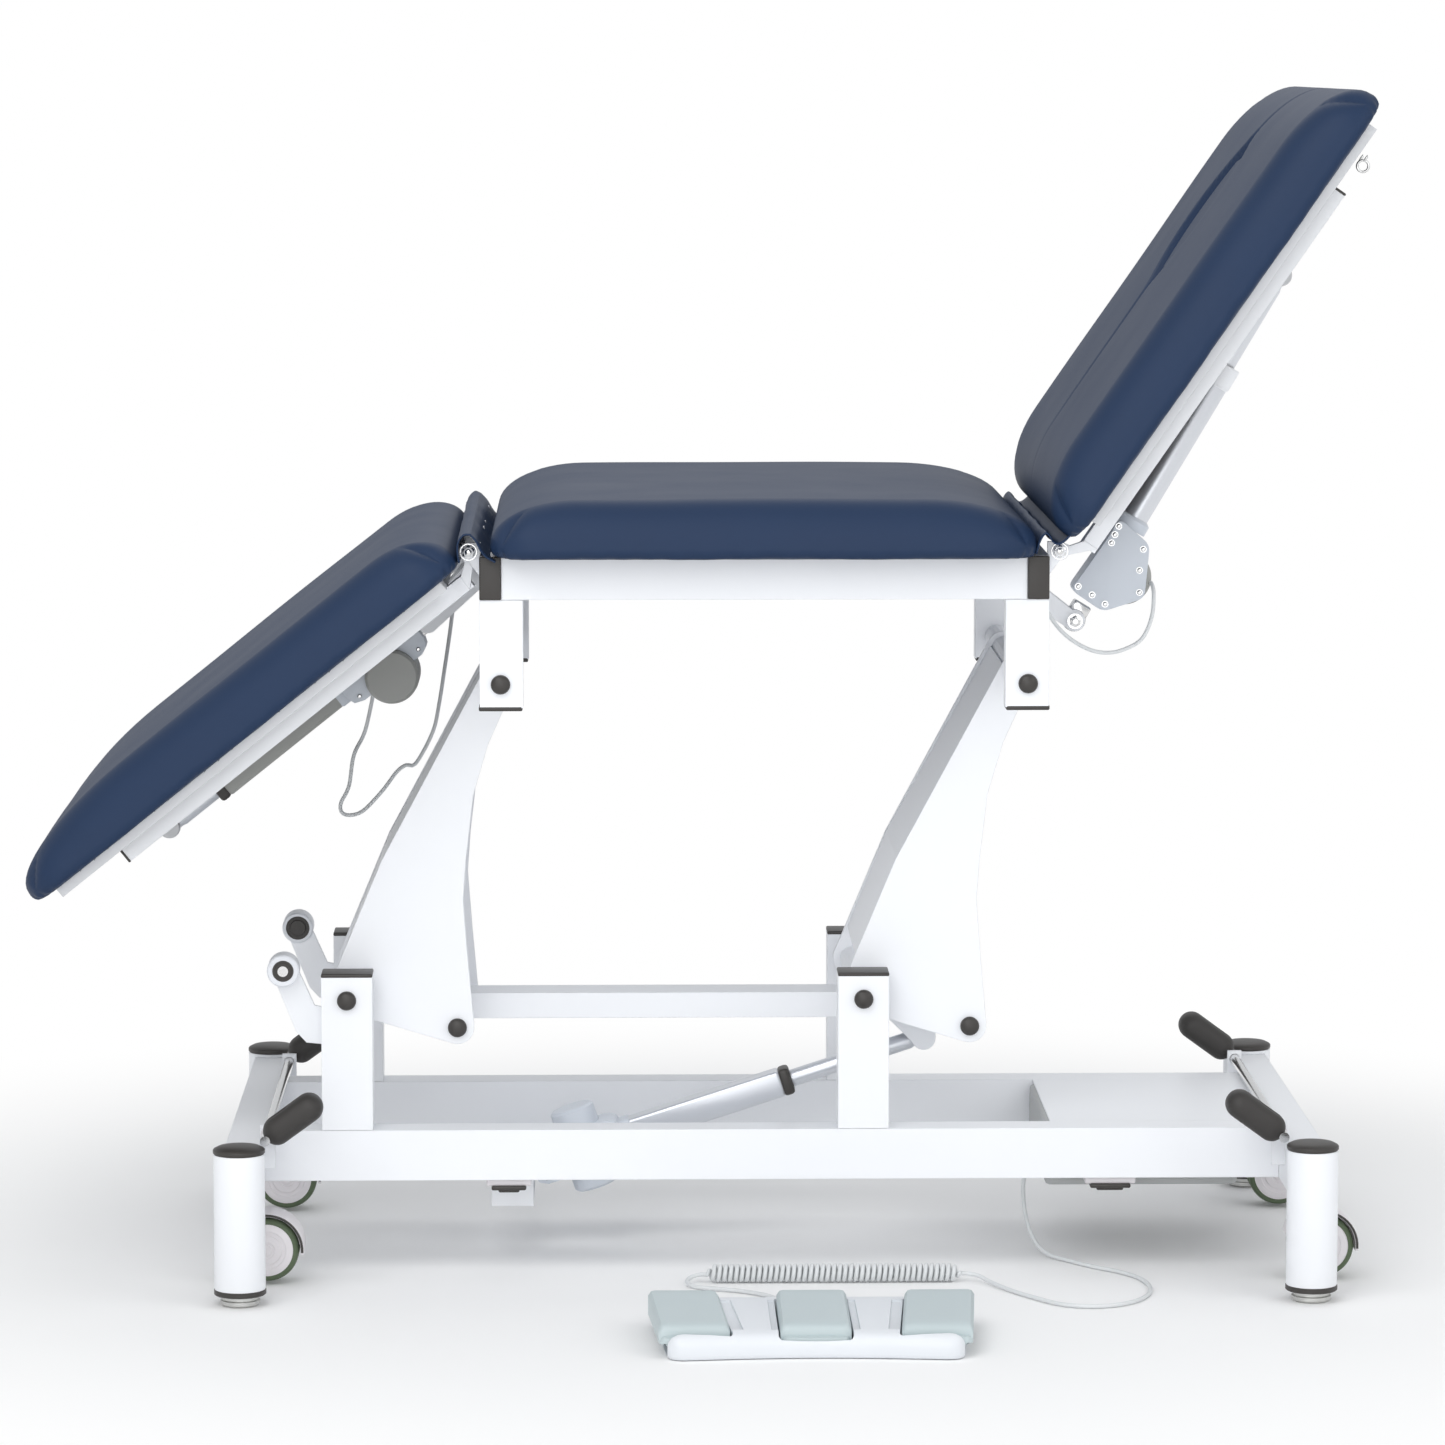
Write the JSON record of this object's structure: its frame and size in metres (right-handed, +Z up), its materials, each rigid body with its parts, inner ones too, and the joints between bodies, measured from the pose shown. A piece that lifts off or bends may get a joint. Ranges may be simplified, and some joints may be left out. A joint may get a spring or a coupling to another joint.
{
  "type": "examination couch",
  "caption": "Electric three-section examination couch on a crank-arm lift, with adjustable back and foot sections, retracting castors and a corded foot control.",
  "frame": {"origin": "floor level under the middle of the bounding box, cord left out", "axes": "+X along the couch towards the head end, +Y away from the side that the foot control stands on, +Z up"},
  "size_m": [1.5698, 1.04, 1.4076],
  "materials": {
    "powder_coat": "satin",
    "navy_vinyl": "satin",
    "plywood": "matte",
    "black_plastic": "satin",
    "grey_plastic": "satin",
    "pale_plastic": "satin",
    "aluminium": "satin",
    "steel": "satin",
    "tyre_rubber": "matte",
    "castor_white": "satin",
    "cord_grey": "satin"
  },
  "bodies": {
    "base": {"base_rail_near": "powder_coat", "base_rail_far": "powder_coat", "cross_member_foot": "powder_coat", "cross_member_head": "powder_coat", "leg_near_foot": "powder_coat", "leg_near_head": "powder_coat", "leg_far_foot": "powder_coat", "leg_far_head": "powder_coat", "base_post_near_foot": "powder_coat", "base_post_near_head": "powder_coat", "base_post_far_foot": "powder_coat", "base_post_far_head": "powder_coat", "cover_tray": "powder_coat", "control_box": "grey_plastic", "lift_bracket": "powder_coat", "control_housing": "pale_plastic", "cord_from_box": "cord_grey", "cord_curl": "cord_grey", "cord_to_control": "cord_grey"},
    "lift_arm_foot": {"lift_arm_foot": "powder_coat"},
    "lift_arm_head": {"lift_arm_head": "powder_coat"},
    "coupling_bar": {"coupling_bar": "powder_coat"},
    "upper_frame": {"end_frame_foot": "powder_coat", "end_frame_head": "powder_coat", "upper_rail_near": "powder_coat", "upper_rail_far": "powder_coat", "seat_cushion": "navy_vinyl"},
    "lift_actuator": {"lift_actuator": "grey_plastic"},
    "lift_rod": {"lift_rod": "aluminium"},
    "back_section": {"back_cushion": "navy_vinyl", "back_board": "plywood", "back_tube_near": "powder_coat", "back_tube_far": "powder_coat"},
    "back_actuator": {"back_actuator": "grey_plastic"},
    "back_rod": {"back_rod": "aluminium"},
    "foot_swing": {"foot_swing_bracket": "powder_coat"},
    "foot_section": {"foot_cushion": "navy_vinyl", "foot_board": "plywood", "foot_tube_near": "powder_coat", "foot_tube_far": "powder_coat"},
    "foot_actuator": {"foot_actuator": "grey_plastic"},
    "foot_rod": {"foot_rod": "aluminium"},
    "pedal_shaft_foot": {"pedal_shaft_foot": "black_plastic"},
    "castor_bar_foot": {"castor_bar_foot": "aluminium"},
    "castor_fork_near_foot": {"castor_fork_near_foot": "castor_white"},
    "castor_wheel_near_foot": {"castor_wheel_near_foot": "tyre_rubber"},
    "castor_fork_far_foot": {"castor_fork_far_foot": "castor_white"},
    "castor_wheel_far_foot": {"castor_wheel_far_foot": "tyre_rubber"},
    "pedal_shaft_head": {"pedal_shaft_head": "black_plastic"},
    "castor_bar_head": {"castor_bar_head": "aluminium"},
    "castor_fork_near_head": {"castor_fork_near_head": "castor_white"},
    "castor_wheel_near_head": {"castor_wheel_near_head": "tyre_rubber"},
    "castor_fork_far_head": {"castor_fork_far_head": "castor_white"},
    "castor_wheel_far_head": {"castor_wheel_far_head": "tyre_rubber"},
    "roller_near": {"roller_near": "castor_white"},
    "roller_far": {"roller_far": "castor_white"},
    "treadle_left": {"treadle_left": "pale_plastic"},
    "treadle_middle": {"treadle_middle": "pale_plastic"},
    "treadle_right": {"treadle_right": "pale_plastic"}
  },
  "joints": [
    {"name": "lift_hinge", "type": "hinge", "parent": "base", "child": "lift_arm_foot", "pos_m": [-0.40345, 0.14, 0.328], "axis": [0, -1, 0], "range_deg": [-64, 0]},
    {"name": "lift_hinge_head", "type": "hinge", "parent": "base", "child": "lift_arm_head", "pos_m": [0.20455, 0.14, 0.328], "axis": [0, -1, 0], "range_deg": [-66, 2]},
    {"name": "coupling_hinge", "type": "hinge", "parent": "lift_arm_foot", "child": "coupling_bar", "pos_m": [-0.27495, 0.14, 0.286], "axis": [0, -1, 0], "range_deg": [-2, 66]},
    {"name": "frame_hinge", "type": "hinge", "parent": "lift_arm_foot", "child": "upper_frame", "pos_m": [-0.21945, 0.14, 0.712], "axis": [0, -1, 0], "range_deg": [-2, 66]},
    {"name": "lift_actuator_hinge", "type": "hinge", "parent": "base", "child": "lift_actuator", "pos_m": [-0.20445, 0.14, 0.093], "axis": [0, -1, 0], "range_deg": [-10.2, 0.5]},
    {"name": "lift_rod_slide", "type": "slide", "parent": "lift_actuator", "child": "lift_rod", "axis": [0.9507, 0, 0.3101], "range_m": [-0.1241, 0.002]},
    {"name": "back_hinge", "type": "hinge", "parent": "upper_frame", "child": "back_section", "pos_m": [0.42505, 0.14, 0.864], "axis": [0, -1, 0], "range_deg": [-55.3, 20]},
    {"name": "back_actuator_hinge", "type": "hinge", "parent": "upper_frame", "child": "back_actuator", "pos_m": [0.46365, 0.14, 0.7584], "axis": [0, -1, 0], "range_deg": [-50.98, 18.76]},
    {"name": "back_rod_slide", "type": "slide", "parent": "back_actuator", "child": "back_rod", "axis": [0.5105, 0, 0.8599], "range_m": [-0.1001, 0.0375]},
    {"name": "foot_swing_hinge", "type": "hinge", "parent": "upper_frame", "child": "foot_swing", "pos_m": [-0.25595, 0.14, 0.864], "axis": [0, 1, 0], "range_deg": [-0.5, 39.1]},
    {"name": "foot_hinge", "type": "hinge", "parent": "foot_swing", "child": "foot_section", "pos_m": [-0.25595, 0.14, 0.864], "axis": [0, 1, 0], "range_deg": [0, 38.6]},
    {"name": "foot_actuator_hinge", "type": "hinge", "parent": "foot_swing", "child": "foot_actuator", "pos_m": [-0.30995, 0.14, 0.7597], "axis": [0, 1, 0], "range_deg": [-0.5, 47.06]},
    {"name": "foot_rod_slide", "type": "slide", "parent": "foot_actuator", "child": "foot_rod", "axis": [-0.7812, 0, -0.6242], "range_m": [-0.002, 0.0539]},
    {"name": "pedal_shaft_hinge_foot", "type": "hinge", "parent": "base", "child": "pedal_shaft_foot", "pos_m": [-0.49445, 0.14, 0.181], "axis": [0, 1, 0], "range_deg": [0, 35]},
    {"name": "castor_bar_slide_foot", "type": "slide", "parent": "base", "child": "castor_bar_foot", "axis": [0, 0, -1], "range_m": [-0.0005, 0.0145]},
    {"name": "castor_swivel_near_foot", "type": "hinge", "parent": "castor_bar_foot", "child": "castor_fork_near_foot", "pos_m": [-0.52145, -0.08, 0.11], "axis": [0, 0, 1], "continuous": true},
    {"name": "castor_wheel_spin_near_foot", "type": "hinge", "parent": "castor_fork_near_foot", "child": "castor_wheel_near_foot", "pos_m": [-0.49645, -0.08, 0.0415], "axis": [0, 1, 0], "continuous": true},
    {"name": "castor_swivel_far_foot", "type": "hinge", "parent": "castor_bar_foot", "child": "castor_fork_far_foot", "pos_m": [-0.52145, 0.36, 0.11], "axis": [0, 0, 1], "continuous": true},
    {"name": "castor_wheel_spin_far_foot", "type": "hinge", "parent": "castor_fork_far_foot", "child": "castor_wheel_far_foot", "pos_m": [-0.49645, 0.36, 0.0415], "axis": [0, 1, 0], "continuous": true},
    {"name": "pedal_shaft_hinge_head", "type": "hinge", "parent": "base", "child": "pedal_shaft_head", "pos_m": [0.68955, 0.14, 0.181], "axis": [0, -1, 0], "range_deg": [0, 35]},
    {"name": "castor_bar_slide_head", "type": "slide", "parent": "base", "child": "castor_bar_head", "axis": [0, 0, -1], "range_m": [-0.0005, 0.0145]},
    {"name": "castor_swivel_near_head", "type": "hinge", "parent": "castor_bar_head", "child": "castor_fork_near_head", "pos_m": [0.71655, -0.08, 0.11], "axis": [0, 0, 1], "continuous": true},
    {"name": "castor_wheel_spin_near_head", "type": "hinge", "parent": "castor_fork_near_head", "child": "castor_wheel_near_head", "pos_m": [0.74155, -0.08, 0.0415], "axis": [0, 1, 0], "continuous": true},
    {"name": "castor_swivel_far_head", "type": "hinge", "parent": "castor_bar_head", "child": "castor_fork_far_head", "pos_m": [0.71655, 0.36, 0.11], "axis": [0, 0, 1], "continuous": true},
    {"name": "castor_wheel_spin_far_head", "type": "hinge", "parent": "castor_fork_far_head", "child": "castor_wheel_far_head", "pos_m": [0.74155, 0.36, 0.0415], "axis": [0, 1, 0], "continuous": true},
    {"name": "roller_spin_near", "type": "hinge", "parent": "base", "child": "roller_near", "pos_m": [-0.47795, -0.0255, 0.363], "axis": [0, 1, 0], "continuous": true},
    {"name": "roller_spin_far", "type": "hinge", "parent": "base", "child": "roller_far", "pos_m": [-0.47795, 0.3055, 0.363], "axis": [0, 1, 0], "continuous": true},
    {"name": "treadle_hinge_left", "type": "hinge", "parent": "base", "child": "treadle_left", "pos_m": [-0.00745, -0.34, 0.021], "axis": [1, 0, 0], "range_deg": [0, 3], "stiffness_Nm_per_rad": 8, "springref_deg": -3.44},
    {"name": "treadle_hinge_middle", "type": "hinge", "parent": "base", "child": "treadle_middle", "pos_m": [0.13255, -0.34, 0.021], "axis": [1, 0, 0], "range_deg": [0, 3], "stiffness_Nm_per_rad": 8, "springref_deg": -3.44},
    {"name": "treadle_hinge_right", "type": "hinge", "parent": "base", "child": "treadle_right", "pos_m": [0.27255, -0.34, 0.021], "axis": [1, 0, 0], "range_deg": [0, 3], "stiffness_Nm_per_rad": 8, "springref_deg": -3.44}
  ],
  "couplings": [
    {"joint": "lift_hinge_head", "follows": "lift_hinge", "ratio": 1},
    {"joint": "coupling_hinge", "follows": "lift_hinge", "ratio": -1},
    {"joint": "frame_hinge", "follows": "lift_hinge", "ratio": -1},
    {"joint": "lift_actuator_hinge", "follows": "lift_hinge", "ratio": 0.15158},
    {"joint": "lift_rod_slide", "follows": "lift_hinge", "m_per_rad": 0.10935},
    {"joint": "back_actuator_hinge", "follows": "back_hinge", "ratio": 0.91288},
    {"joint": "back_rod_slide", "follows": "back_hinge", "m_per_rad": 0.10162},
    {"joint": "foot_swing_hinge", "follows": "lift_hinge", "ratio": -0.60313},
    {"joint": "foot_actuator_hinge", "follows": "foot_hinge", "ratio": 1.2062},
    {"joint": "foot_rod_slide", "follows": "foot_hinge", "m_per_rad": 0.077075},
    {"joint": "castor_bar_slide_foot", "follows": "pedal_shaft_hinge_foot", "m_per_rad": 0.0221},
    {"joint": "castor_bar_slide_head", "follows": "pedal_shaft_hinge_head", "m_per_rad": 0.0221}
  ]
}
